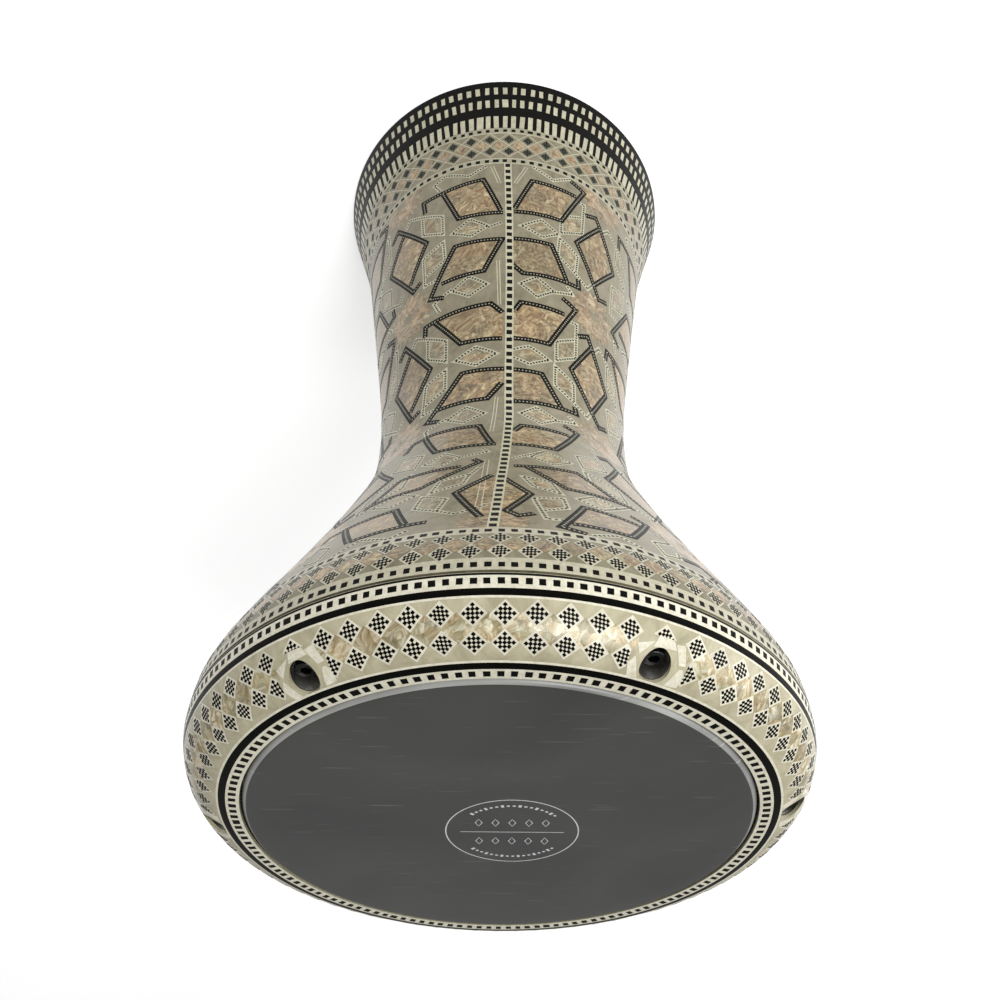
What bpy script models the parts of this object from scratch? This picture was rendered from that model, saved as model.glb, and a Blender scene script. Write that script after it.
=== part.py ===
"""Darbuka: a goblet drum with a cast shell, a tuned head and inlay glued over the whole outside.

It stands on its foot. The origin is the middle of the foot's rim on the floor, +Z is the drum's axis
of symmetry, and the seam of the stem inlay faces -Y. Lengths are in metres.
"""

import math

import bmesh
import bpy
from mathutils import Vector

# Overall sizes
HEIGHT = 0.470
JOINT_HEIGHT = 0.4425
JOINT_RADIUS = 0.1379
SEGMENTS = 40
SMALL_SEGMENTS = 16

# The outside of the finished shell, as (height, radius), from the floor to the tuning ring
SHELL_OUTLINE = (
    (0.000, 0.1096),
    (0.027, 0.1022),
    (0.060, 0.0936),
    (0.106, 0.0862),
    (0.170, 0.0773),
    (0.215, 0.0716),
    (0.250, 0.0700),
    (0.285, 0.0730),
    (0.325, 0.0872),
    (0.374, 0.1097),
    (0.411, 0.1281),
    (0.430, 0.1362),
    (JOINT_HEIGHT, JOINT_RADIUS),
)

# Inlay
CLEARANCE = 0.0003
INLAY_THICKNESS = 0.0015
CASTING_INSET = INLAY_THICKNESS + CLEARANCE
STEM_INLAY_TOP = 0.4155
STEM_INLAY_BOTTOM = 0.0730
FOOT_BORDER_BOTTOM = 0.0425
FOOT_EDGE_BOTTOM = 0.0010
SEAM_WIDTH = 0.0050
# How far the seam strays from the front of the stem, as (height, sideways)
SEAM_PATH = (
    (0.073, -0.0018),
    (0.240, -0.0032),
    (0.330, -0.0016),
    (0.416, 0.0034),
)
SEAM_BENDS = 8

# Shell casting
WALL = 0.0045
JOINT_GAP = 0.0010
FLANGE_TOP = JOINT_HEIGHT - JOINT_GAP / 2
LEDGE = 0.0080
LEDGE_UNDERSIDE = FLANGE_TOP - LEDGE
LEDGE_CORNER = 0.1230
BELLY_TOP = 0.4290
COLLAR_RADIUS = 0.1086
COLLAR_BORE = 0.1026
CROWN_CENTRE = Vector((0.1065, 0.4670))
CROWN_RADIUS = 0.0021
CROWN_FLAT = 0.0020

# Head
FILM_THICKNESS = 0.0005
FILM_BEND = HEIGHT - CROWN_CENTRE.y
SKIRT_BOTTOM = 0.4520
HOOP_BORE = 0.1099
HOOP_RADIUS = 0.1156
HOOP_TOP = 0.4607
HOOP_BOTTOM = 0.4495
HOOP_CHAMFER = 0.0008

# Tuning ring: its shoulder is a quarter ellipse from the joint up to the flat lip
RING_BOTTOM = JOINT_HEIGHT + JOINT_GAP / 2
SHOULDER_CENTRE = Vector((0.1140, 0.4430))
SHOULDER_WIDTH = JOINT_RADIUS - SHOULDER_CENTRE.x
SHOULDER_HEIGHT = 0.0262
LIP_BORE = 0.1105
LIP_UNDERSIDE = HOOP_TOP + CLEARANCE
RING_BORE = 0.1162
COLLAR_INLAY_RADIUS = 0.1188
EDGE_INLAY_TOP = 0.4495

# Tension screws, M5 x 25 with a socket head, and their washers
SCREWS = 6
SCREW_CIRCLE = 0.1255
FIRST_SCREW_ANGLE = math.radians(4.2 - 30.0)
RECESS_RADIUS = 0.0059
RECESS_FLOOR = 0.4554
SHANK_RADIUS = 0.0025
SHANK_LENGTH = 0.025
SHANK_POINT = 0.0006
SCREW_HEAD_RADIUS = 0.00425
SCREW_HEAD_HEIGHT = 0.0050
SCREW_HEAD_CHAMFER = 0.0003
SOCKET_WIDTH = 0.0040
SOCKET_DEPTH = 0.0026
WASHER_RADIUS = 0.0050
WASHER_BORE = 0.00275
WASHER_THICKNESS = 0.0010
WASHER_BOTTOM = RECESS_FLOOR + CLEARANCE
SCREW_SEAT = WASHER_BOTTOM + WASHER_THICKNESS + CLEARANCE
RING_SCREW_BORE = 0.0030
TAPPED_BORE = 0.0027
BOSS_RADIUS = 0.0065
BOSS_BOTTOM = 0.4270
TAPPED_BORE_BOTTOM = 0.4300

# The bands of the shell's outside, as (upper limit, steps down to the next band)
SHELL_BANDS = (
    (FLANGE_TOP, 2),
    (STEM_INLAY_TOP, 10),
    (STEM_INLAY_BOTTOM, 1),
    (FOOT_BORDER_BOTTOM, 2),
    (0.0, 0),
)

# How far a cutter runs past what it cuts
BEYOND = 0.010

MATERIALS = {
    "cast_aluminium": ((0.60, 0.60, 0.58), 0.45, 1.0),
    "hoop_aluminium": ((0.72, 0.72, 0.71), 0.30, 1.0),
    "head_film": ((0.075, 0.077, 0.080), 0.38, 0.0),
    "ivory_inlay": ((0.70, 0.66, 0.53), 0.22, 0.0),
    "pearl_inlay": ((0.48, 0.42, 0.33), 0.20, 0.0),
    "black_inlay": ((0.012, 0.012, 0.012), 0.22, 0.0),
    "black_steel": ((0.045, 0.045, 0.048), 0.35, 1.0),
    "zinc_steel": ((0.50, 0.50, 0.50), 0.32, 1.0),
}


def clear_scene():
    for obj in list(bpy.data.objects):
        bpy.data.objects.remove(obj, do_unlink=True)


def add_collection(name):
    collection = bpy.data.collections.new(name)
    bpy.context.scene.collection.children.link(collection)
    return collection


def material(name):
    """The Principled material of this name, made on its first use."""
    found = bpy.data.materials.get(name)
    if found:
        return found
    colour, roughness, metallic = MATERIALS[name]
    made = bpy.data.materials.new(name)
    made.use_nodes = True
    shader = made.node_tree.nodes["Principled BSDF"]
    shader.inputs["Base Color"].default_value = (*colour, 1.0)
    shader.inputs["Roughness"].default_value = roughness
    shader.inputs["Metallic"].default_value = metallic
    made.diffuse_color = (*colour, 1.0)
    return made


def smooth_value(stations, x):
    """The value at x on a smooth curve through the stations, as a cubic between each pair."""
    last = len(stations) - 1
    i = min(max(sum(station[0] <= x for station in stations) - 1, 0), last - 1)
    slopes = []
    for j in (i, i + 1):
        before = stations[max(j - 1, 0)]
        after = stations[min(j + 1, last)]
        slopes.append((after[1] - before[1]) / (after[0] - before[0]))
    (x0, y0), (x1, y1) = stations[i], stations[i + 1]
    span = x1 - x0
    t = (x - x0) / span
    return (
        y0 * (1 + 2 * t) * (1 - t) ** 2
        + slopes[0] * span * t * (1 - t) ** 2
        + y1 * t * t * (3 - 2 * t)
        + slopes[1] * span * t * t * (t - 1)
    )


def spaced(start, end, count):
    return [start + (end - start) * i / (count - 1) for i in range(count)]


def shell_curve(top, bottom, inset=0.0):
    """(radius, height) points down the shell's outside, moved inwards by the inset.

    The points between the ends are at the same heights for every piece, so the pieces' facets stay parallel.
    """
    shared = []
    for (upper, steps), (lower, _) in zip(SHELL_BANDS, SHELL_BANDS[1:]):
        shared += spaced(upper, lower, steps + 1)[:-1]
    heights = [top, *(z for z in shared if bottom + CLEARANCE * 2 < z < top - CLEARANCE * 2), bottom]
    return [(smooth_value(SHELL_OUTLINE, z) - inset, z) for z in heights]


def shoulder_curve(start, end, count, inset=0.0):
    """(radius, height) points of the ring's shoulder between two angles of its ellipse, 90 degrees at its top."""
    return [
        (
            SHOULDER_CENTRE.x + (SHOULDER_WIDTH - inset) * math.cos(math.radians(a)),
            SHOULDER_CENTRE.y + (SHOULDER_HEIGHT - inset) * math.sin(math.radians(a)),
        )
        for a in spaced(start, end, count)
    ]


def crown_curve(radius, count=4):
    """(radius, height) points over the bearing edge's crown, from its top to its outer side."""
    return [
        (
            CROWN_CENTRE.x + radius * math.cos(math.radians(a)),
            CROWN_CENTRE.y + radius * math.sin(math.radians(a)),
        )
        for a in spaced(90, 0, count)
    ]


def shoulder_angle_at_radius(radius):
    return math.degrees(math.acos((radius - SHOULDER_CENTRE.x) / SHOULDER_WIDTH))


def shoulder_angle_at_height(height):
    return math.degrees(math.asin((height - SHOULDER_CENTRE.y) / SHOULDER_HEIGHT))


def turned(name, profile, closed, collection, segments=SEGMENTS):
    """A solid turned about Z from (radius, height) points that run down its outer side."""
    mesh = bpy.data.meshes.new(name)
    edges = [(i, i + 1) for i in range(len(profile) - 1)]
    if closed:
        edges.append((len(profile) - 1, 0))
    mesh.from_pydata([(r, 0.0, z) for r, z in profile], edges, [])
    obj = bpy.data.objects.new(name, mesh)
    collection.objects.link(obj)
    screw = obj.modifiers.new("Turn", "SCREW")
    screw.axis = "Z"
    screw.angle = math.tau
    screw.steps = segments
    screw.render_steps = segments
    screw.use_merge_vertices = True
    screw.merge_threshold = 0.00001
    screw.use_smooth_shade = True
    return obj


def cylinder(name, radius, bottom, top, position, collection, segments=SMALL_SEGMENTS):
    """An upright cylinder, at rest in the collection until something cuts or joins with it."""
    mesh = bpy.data.meshes.new(name)
    shape = bmesh.new()
    bmesh.ops.create_cone(
        shape, cap_ends=True, segments=segments, radius1=radius, radius2=radius, depth=top - bottom
    )
    shape.to_mesh(mesh)
    shape.free()
    obj = bpy.data.objects.new(name, mesh)
    obj.location = (position.x, position.y, (top + bottom) / 2)
    collection.objects.link(obj)
    return obj


def as_cutter(obj):
    obj.hide_render = True
    obj.display_type = "WIRE"
    return obj


def boolean(obj, operation, other):
    modifier = obj.modifiers.new(other.name, "BOOLEAN")
    modifier.operation = operation
    modifier.object = other
    modifier.solver = "EXACT"


def finish(obj, material_name, sharp=35.0):
    """Applies the modifiers, and sets the shading and the material."""
    graph = bpy.context.evaluated_depsgraph_get()
    mesh = bpy.data.meshes.new_from_object(obj.evaluated_get(graph))
    mesh.name = obj.name
    obj.modifiers.clear()
    obj.data = mesh
    mesh.shade_smooth()
    mesh.set_sharp_from_angle(angle=math.radians(sharp))
    mesh.materials.clear()
    mesh.materials.append(material(material_name))
    return obj


def screw_position(index):
    """Where a tension screw's axis crosses the floor plane. Angles are counted from -Y, towards +X."""
    angle = FIRST_SCREW_ANGLE + math.tau * index / SCREWS
    return Vector((SCREW_CIRCLE * math.sin(angle), -SCREW_CIRCLE * math.cos(angle), 0.0))


def make_shell(parts, cutters):
    """The casting: goblet wall, flange with six tapped bosses, and the collar that the head bears on."""
    profile = [(CROWN_CENTRE.x - CROWN_FLAT, CROWN_CENTRE.y + CROWN_RADIUS), *crown_curve(CROWN_RADIUS)]
    profile.append((COLLAR_RADIUS, FLANGE_TOP))
    profile += shell_curve(FLANGE_TOP, 0.0, CASTING_INSET)
    profile += [(smooth_value(SHELL_OUTLINE, z) - CASTING_INSET - WALL, z) for z in spaced(0.0, BELLY_TOP, 10)]
    profile += [(LEDGE_CORNER, LEDGE_UNDERSIDE), (COLLAR_BORE, LEDGE_UNDERSIDE)]
    profile.append((COLLAR_BORE, CROWN_CENTRE.y))
    shell = turned("shell", profile, True, parts)
    for i in range(SCREWS):
        at = screw_position(i)
        boss = cylinder(f"boss_{i + 1}", BOSS_RADIUS, BOSS_BOTTOM, FLANGE_TOP - LEDGE / 4, at, cutters)
        bore = cylinder(f"tapping_{i + 1}", TAPPED_BORE, TAPPED_BORE_BOTTOM, FLANGE_TOP + BEYOND, at, cutters)
        boolean(shell, "UNION", as_cutter(boss))
        boolean(shell, "DIFFERENCE", as_cutter(bore))
    return finish(shell, "cast_aluminium")


def make_head_film(parts):
    """The playing surface, bent over the crown into a skirt that the hoop grips."""
    profile = [(0.0, HEIGHT), *crown_curve(FILM_BEND)]
    outer = CROWN_CENTRE.x + FILM_BEND
    profile += [(outer, SKIRT_BOTTOM), (outer - FILM_THICKNESS, SKIRT_BOTTOM)]
    profile += reversed(crown_curve(FILM_BEND - FILM_THICKNESS))
    profile.append((0.0, HEIGHT - FILM_THICKNESS))
    return finish(turned("head_film", profile, False, parts), "head_film")


def make_head_hoop(parts):
    profile = [
        (HOOP_RADIUS - HOOP_CHAMFER, HOOP_TOP),
        (HOOP_RADIUS, HOOP_TOP - HOOP_CHAMFER),
        (HOOP_RADIUS, HOOP_BOTTOM),
        (HOOP_BORE, HOOP_BOTTOM),
        (HOOP_BORE, HOOP_TOP),
    ]
    return finish(turned("head_hoop", profile, True, parts), "hoop_aluminium")


def recess_cutters(cutters):
    """One cutter for each screw's recess, shared by the ring and the inlay over it."""
    return [
        as_cutter(
            cylinder(f"recess_{i + 1}", RECESS_RADIUS, RECESS_FLOOR, HEIGHT + BEYOND, screw_position(i), cutters)
        )
        for i in range(SCREWS)
    ]


def make_tuning_ring(parts, cutters, recesses):
    """The ring that the screws draw down: its lip bears on the hoop."""
    profile = [(LIP_BORE, SHOULDER_CENTRE.y + SHOULDER_HEIGHT - CASTING_INSET)]
    profile += shoulder_curve(90, 0, 9, CASTING_INSET)
    profile[-1] = (JOINT_RADIUS - CASTING_INSET, RING_BOTTOM)
    profile += [(RING_BORE, RING_BOTTOM), (RING_BORE, LIP_UNDERSIDE), (LIP_BORE, LIP_UNDERSIDE)]
    ring = turned("tuning_ring", profile, True, parts)
    for i, recess in enumerate(recesses):
        bore = cylinder(
            f"ring_bore_{i + 1}", RING_SCREW_BORE, RING_BOTTOM - BEYOND, HEIGHT, screw_position(i), cutters
        )
        boolean(ring, "DIFFERENCE", recess)
        boolean(ring, "DIFFERENCE", as_cutter(bore))
    return finish(ring, "cast_aluminium")


def inlay_profile(curve, *where):
    """A closed section of the inlay's thickness: down its outside, then back up its inside."""
    return curve(*where) + curve(*where, INLAY_THICKNESS)[::-1]


def make_ring_inlay(parts, recesses):
    """The ring's three bands, from the head outwards: collar, field with the screw recesses, and edge."""
    lip = shoulder_angle_at_radius(COLLAR_INLAY_RADIUS)
    edge = shoulder_angle_at_height(EDGE_INLAY_TOP)
    gap = math.degrees(CLEARANCE / SHOULDER_HEIGHT)
    top = SHOULDER_CENTRE.y + SHOULDER_HEIGHT
    collar = [(LIP_BORE, top), *inlay_profile(shoulder_curve, 90, lip, 3), (LIP_BORE, top - INLAY_THICKNESS)]
    finish(turned("ring_collar_inlay", collar, True, parts), "ivory_inlay")
    field = turned("ring_field_inlay", inlay_profile(shoulder_curve, lip - gap, edge + gap, 6), True, parts)
    for recess in recesses:
        boolean(field, "DIFFERENCE", recess)
    finish(field, "pearl_inlay")
    edge_profile = inlay_profile(shoulder_curve, edge, gap, 3)
    finish(turned("ring_edge_inlay", edge_profile, True, parts), "ivory_inlay")


def seam_box(name, width, cutters):
    """A tall box at the front of the stem that bends sideways as the seam does."""
    mesh = bpy.data.meshes.new(name)
    shape = bmesh.new()
    bmesh.ops.create_cube(shape, size=1.0)
    height = STEM_INLAY_TOP - STEM_INLAY_BOTTOM + 2 * BEYOND
    bmesh.ops.scale(shape, vec=(width, JOINT_RADIUS + BEYOND, height), verts=shape.verts)
    middle = Vector((0.0, -JOINT_RADIUS / 2 - BEYOND, (STEM_INLAY_TOP + STEM_INLAY_BOTTOM) / 2))
    bmesh.ops.translate(shape, vec=middle, verts=shape.verts)
    upright = [edge for edge in shape.edges if abs(edge.verts[0].co.z - edge.verts[1].co.z) > height / 2]
    bmesh.ops.subdivide_edges(shape, edges=upright, cuts=SEAM_BENDS, use_grid_fill=True)
    for vertex in shape.verts:
        vertex.co.x += smooth_value(SEAM_PATH, min(max(vertex.co.z, SEAM_PATH[0][0]), SEAM_PATH[-1][0]))
    shape.to_mesh(mesh)
    shape.free()
    obj = bpy.data.objects.new(name, mesh)
    cutters.objects.link(obj)
    return as_cutter(obj)


def make_shell_inlay(parts, cutters):
    """Five glued pieces: bowl border, stem sheet open at its seam, the strip in it, foot border and foot edge."""
    bowl = inlay_profile(shell_curve, FLANGE_TOP, STEM_INLAY_TOP + CLEARANCE)
    finish(turned("bowl_border_inlay", bowl, True, parts), "ivory_inlay")
    stem = inlay_profile(shell_curve, STEM_INLAY_TOP, STEM_INLAY_BOTTOM)
    sheet = turned("stem_inlay_sheet", stem, True, parts)
    boolean(sheet, "DIFFERENCE", seam_box("seam_opening", SEAM_WIDTH + 2 * CLEARANCE, cutters))
    finish(sheet, "pearl_inlay")
    strip = turned("stem_seam_strip", stem, True, parts)
    boolean(strip, "INTERSECT", seam_box("seam_strip_shape", SEAM_WIDTH, cutters))
    finish(strip, "ivory_inlay")
    border = inlay_profile(shell_curve, STEM_INLAY_BOTTOM - CLEARANCE, FOOT_BORDER_BOTTOM)
    finish(turned("foot_border_inlay", border, True, parts), "pearl_inlay")
    edge = inlay_profile(shell_curve, FOOT_BORDER_BOTTOM - CLEARANCE, FOOT_EDGE_BOTTOM)
    finish(turned("foot_edge_inlay", edge, True, parts), "black_inlay")


def make_screw(index, parts, cutters):
    """A socket-head cap screw, with its origin on its own axis at the underside of its head."""
    head_top = SCREW_HEAD_HEIGHT
    profile = [
        (0.0, head_top),
        (SCREW_HEAD_RADIUS - SCREW_HEAD_CHAMFER, head_top),
        (SCREW_HEAD_RADIUS, head_top - SCREW_HEAD_CHAMFER),
        (SCREW_HEAD_RADIUS, 0.0),
        (SHANK_RADIUS, 0.0),
        (SHANK_RADIUS, SHANK_POINT - SHANK_LENGTH),
        (SHANK_RADIUS - SHANK_POINT, -SHANK_LENGTH),
        (0.0, -SHANK_LENGTH),
    ]
    screw = turned(f"tension_screw_{index + 1}", profile, False, parts, SMALL_SEGMENTS)
    across_corners = SOCKET_WIDTH / math.cos(math.radians(30))
    socket = cylinder(
        f"socket_{index + 1}", across_corners / 2, head_top - SOCKET_DEPTH, head_top + BEYOND, Vector(), cutters, 6
    )
    boolean(screw, "DIFFERENCE", as_cutter(socket))
    bpy.context.view_layer.update()
    finish(screw, "black_steel")
    screw.location = screw_position(index) + Vector((0.0, 0.0, SCREW_SEAT))
    return screw


def make_washer(index, parts):
    profile = [
        (WASHER_RADIUS, WASHER_THICKNESS),
        (WASHER_RADIUS, 0.0),
        (WASHER_BORE, 0.0),
        (WASHER_BORE, WASHER_THICKNESS),
    ]
    washer = finish(turned(f"screw_washer_{index + 1}", profile, True, parts, SMALL_SEGMENTS), "zinc_steel")
    washer.location = screw_position(index) + Vector((0.0, 0.0, WASHER_BOTTOM))
    return washer


def add_pivot(name, position, collection, parent=None):
    """An empty that carries the pieces of one moving body."""
    pivot = bpy.data.objects.new(name, None)
    pivot.empty_display_size = 0.02
    pivot.location = position
    pivot.parent = parent
    collection.objects.link(pivot)
    return pivot


def carry(pivot, pieces):
    """Parents the pieces to the pivot and leaves them where they are."""
    bpy.context.view_layer.update()
    for piece in pieces:
        piece.parent = pivot
        piece.matrix_parent_inverse = pivot.matrix_world.inverted()


def main():
    clear_scene()
    parts = add_collection("darbuka")
    cutters = add_collection("darbuka_cutters")
    make_shell(parts, cutters)
    make_head_film(parts)
    hoop = make_head_hoop(parts)
    recesses = recess_cutters(cutters)
    ring = make_tuning_ring(parts, cutters, recesses)
    make_ring_inlay(parts, recesses)
    make_shell_inlay(parts, cutters)
    screws = [make_screw(i, parts, cutters) for i in range(SCREWS)]
    washers = [make_washer(i, parts) for i in range(SCREWS)]
    ring_slide = add_pivot("ring_slide", (0.0, 0.0, RING_BOTTOM), parts)
    ring_inlay = [parts.objects[f"ring_{band}_inlay"] for band in ("collar", "field", "edge")]
    carry(ring_slide, [ring, hoop, *ring_inlay, *washers, *screws])
    for cutter in cutters.objects:
        cutter.hide_set(True)


main()
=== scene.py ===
import math
import random

import bmesh
import bpy
import numpy as np
from mathutils import Matrix, Vector


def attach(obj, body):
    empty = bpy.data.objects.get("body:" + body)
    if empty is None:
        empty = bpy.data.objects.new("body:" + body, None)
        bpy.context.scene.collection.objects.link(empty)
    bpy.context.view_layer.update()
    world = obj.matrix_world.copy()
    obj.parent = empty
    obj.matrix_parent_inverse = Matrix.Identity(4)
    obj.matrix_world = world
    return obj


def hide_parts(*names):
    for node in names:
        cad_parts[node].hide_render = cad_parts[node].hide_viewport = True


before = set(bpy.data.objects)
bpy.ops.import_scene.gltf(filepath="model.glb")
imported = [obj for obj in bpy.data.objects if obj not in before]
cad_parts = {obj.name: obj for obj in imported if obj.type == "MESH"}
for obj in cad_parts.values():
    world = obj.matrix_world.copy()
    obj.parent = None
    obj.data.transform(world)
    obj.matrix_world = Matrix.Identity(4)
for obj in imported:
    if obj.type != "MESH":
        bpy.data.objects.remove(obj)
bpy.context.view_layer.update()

SHELL = "shell_assembly"
RING = "tuning_ring_assembly"
MM = 0.001
rng = random.Random(7)

# ---------------------------------------------------------------- the drum's outside, as the CAD has it
HEIGHT = 0.470
JOINT_HEIGHT = 0.4425
JOINT_RADIUS = 0.1379
SHELL_OUTLINE = (
    (0.000, 0.1096), (0.027, 0.1022), (0.060, 0.0936), (0.106, 0.0862), (0.170, 0.0773),
    (0.215, 0.0716), (0.250, 0.0700), (0.285, 0.0730), (0.325, 0.0872), (0.374, 0.1097),
    (0.411, 0.1281), (0.430, 0.1362), (JOINT_HEIGHT, JOINT_RADIUS),
)
SHOULDER = (0.1140, 0.4430)
SHOULDER_SIZE = (JOINT_RADIUS - SHOULDER[0], 0.0262)
LIP_BORE = 0.1105
CASTING_INSET = 0.0018
RING_BOTTOM = 0.4430
FLANGE_TOP = 0.4420
SCREW_CIRCLE = 0.1255
RECESS_RADIUS = 0.0059
RECESS_FLOOR = 0.4554
SCREW_AZIMUTHS = [4.2 - 30 + 60 * i for i in range(6)]
# The skin's arc length in mm: at the lip's bore, the shoulder's start, the joint and the floor
S_LIP, S_SHOULDER, S_JOINT, S_FLOOR = 20.5, 24, 64.2, 524


def smooth_value(stations, x):
    """The value at x on a smooth curve through the stations, as a cubic between each pair."""
    last = len(stations) - 1
    i = min(max(sum(station[0] <= x for station in stations) - 1, 0), last - 1)
    slopes = []
    for j in (i, i + 1):
        before = stations[max(j - 1, 0)]
        after = stations[min(j + 1, last)]
        slopes.append((after[1] - before[1]) / (after[0] - before[0]))
    (x0, y0), (x1, y1) = stations[i], stations[i + 1]
    span = x1 - x0
    t = (x - x0) / span
    return (
        y0 * (1 + 2 * t) * (1 - t) ** 2 + slopes[0] * span * t * (1 - t) ** 2
        + y1 * t * t * (3 - 2 * t) + slopes[1] * span * t * t * (t - 1)
    )


def quarter_turn(steps):
    """Angles from straight up to straight out, in radians."""
    return [math.radians(90 - 90 * k / steps) for k in range(steps + 1)]


def shoulder_curve(inset, steps):
    """The ring's rounded shoulder as (radius, height) points, drawn in by the inset."""
    (r, z), (wide, tall) = SHOULDER, SHOULDER_SIZE
    return [(r + (wide - inset) * math.cos(a), z + (tall - inset) * math.sin(a)) for a in quarter_turn(steps)]


def skin_table():
    """Rows of s (mm), radius, height and outward normal down the drum's outside."""
    rows = [(S_LIP, LIP_BORE, SHOULDER[1] + SHOULDER_SIZE[1])]
    ring = shoulder_curve(0, 240)
    heights = np.linspace(JOINT_HEIGHT, 0, 1400)
    wall = [(smooth_value(SHELL_OUTLINE, z), z) for z in heights]
    for curve, low, high in ((ring, S_SHOULDER, S_JOINT), (wall, S_JOINT, S_FLOOR)):
        points = np.array(curve)
        arc = np.concatenate([[0], np.cumsum(np.hypot(*np.diff(points, axis=0).T))])
        s = low + (high - low) * arc / arc[-1]
        rows += [(a, r, z) for a, (r, z) in zip(s, curve) if a > rows[-1][0] + 1e-6]
    table = np.array(rows)
    slope_r, slope_z = np.gradient(table[:, 1], table[:, 0]), np.gradient(table[:, 2], table[:, 0])
    size = np.hypot(slope_r, slope_z)
    return np.column_stack([table, -slope_z / size, slope_r / size])


SKIN = skin_table()


def radius_at(s):
    """Radius of the skin in mm."""
    return float(np.interp(s, SKIN[:, 0], SKIN[:, 1])) / MM


def on_skin(azimuth, s, lift):
    """Points and normals for azimuths in degrees from -Y towards +X, arc lengths in mm and lifts in mm."""
    a, s = np.radians(np.asarray(azimuth, float)), np.asarray(s, float)
    r, z, nr, nz = (np.interp(s, SKIN[:, 0], SKIN[:, k]) for k in (1, 2, 3, 4))
    size = np.hypot(nr, nz)
    nr, nz = nr / size, nz / size
    out, up = r + np.asarray(lift) * MM * nr, z + np.asarray(lift) * MM * nz
    points = np.column_stack([out * np.sin(a), -out * np.cos(a), up])
    return points, np.column_stack([nr * np.sin(a), -nr * np.cos(a), nz])


# ---------------------------------------------------------------- materials
def filled(made, **values):
    """The node with each named property or input set, or linked where the value is a socket."""
    for key, value in values.items():
        if hasattr(made, key):
            setattr(made, key, value)
            continue
        target = made.inputs[key.replace("_", " ")]
        if isinstance(value, bpy.types.NodeSocket):
            made.id_data.links.new(value, target)
        else:
            target.default_value = value
    return made


def node(tree, kind, **values):
    return filled(tree.nodes.new("ShaderNode" + kind), **values)


def new_material(name):
    """A material with its tree, its shader and the point on the object that its textures start from."""
    made = bpy.data.materials.new(name)
    made.use_nodes = True
    tree = made.node_tree
    return made, tree, tree.nodes["Principled BSDF"], node(tree, "TexCoord").outputs["Object"]


def stretched(tree, place, scale, turn=(0, 0, 0)):
    return node(tree, "Mapping", Vector=place, Scale=scale, Rotation=turn).outputs["Vector"]


def noise(tree, place, scale, detail, roughness=0.5, distortion=0):
    values = {"Scale": scale, "Detail": detail, "Roughness": roughness, "Distortion": distortion}
    return node(tree, "TexNoise", Vector=place, **values).outputs["Fac"]


def ramp(tree, source, *stops):
    """The colour at each (position, colour) stop. A single number stands for a grey."""
    made = node(tree, "ValToRGB", Fac=source)
    band = made.color_ramp
    while len(band.elements) < len(stops):
        band.elements.new(0.5)
    for element, (position, colour) in zip(band.elements, stops):
        element.position = position
        element.color = (*colour, 1) if isinstance(colour, tuple) else (colour, colour, colour, 1)
    return made.outputs["Color"]


def mixed(tree, kind, amount, first, second):
    made = node(tree, "Mix", data_type="RGBA", blend_type=kind)
    made.inputs[0].default_value = amount
    for socket, value in ((made.inputs[6], first), (made.inputs[7], second)):
        tree.links.new(value, socket)
    return made.outputs[2]


def toned(tree, colour, depth):
    """The colour, darker by up to this much where the tone of a piece is low."""
    tone = node(tree, "Attribute", attribute_name="tone").outputs["Fac"]
    return mixed(tree, "MULTIPLY", 1, colour, ramp(tree, tone, (0, 1 - depth), (1, 1)))


def srgb(colour):
    """The linear colour of an sRGB one from 0 to 255."""
    parts = [c / 255 for c in colour]
    return tuple(c / 12.92 if c <= 0.04045 else ((c + 0.055) / 1.055) ** 2.4 for c in parts)


def bumped(tree, shader, source, strength, distance):
    bump = node(tree, "Bump", Strength=strength, Distance=distance, Height=source)
    filled(shader, Normal=bump.outputs["Normal"])


def inlay_material(name, dark, light, scale, roughness=0.30, coat=0.12, tone=0.16, streak=1, shine=0.3):
    """Lacquered inlay: cloudy colour between two tones, and each little piece a tone of its own."""
    made, tree, shader, place = new_material(name)
    cloud = noise(tree, stretched(tree, place, (1, 1, streak)), scale, 5, 0.62, 0.6)
    colour = ramp(tree, cloud, (0.30, srgb(dark)), (0.72, srgb(light)))
    rough = ramp(tree, cloud, (0.2, roughness - 0.07), (0.8, roughness + 0.08))
    filled(shader, Base_Color=toned(tree, colour, tone), Roughness=rough, Specular_IOR_Level=shine)
    filled(shader, Coat_Weight=coat, Coat_Roughness=0.07)
    bumped(tree, shader, noise(tree, place, 95, 2), 0.10, 0.0004)
    return made


# What each shard of the pearl is multiplied by: shaded ones as painted shade, greenish, orange, white ones as
# painted glints, and cream ones
PEARL_PAINTED_FLASH = (
    (0, (0.62, 0.62, 0.60)), (0.28, (0.80, 0.84, 0.77)), (0.50, (0.96, 0.85, 0.71)),
    (0.72, (1, 1, 0.96)), (1, (1, 0.95, 0.87)),
)


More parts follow.
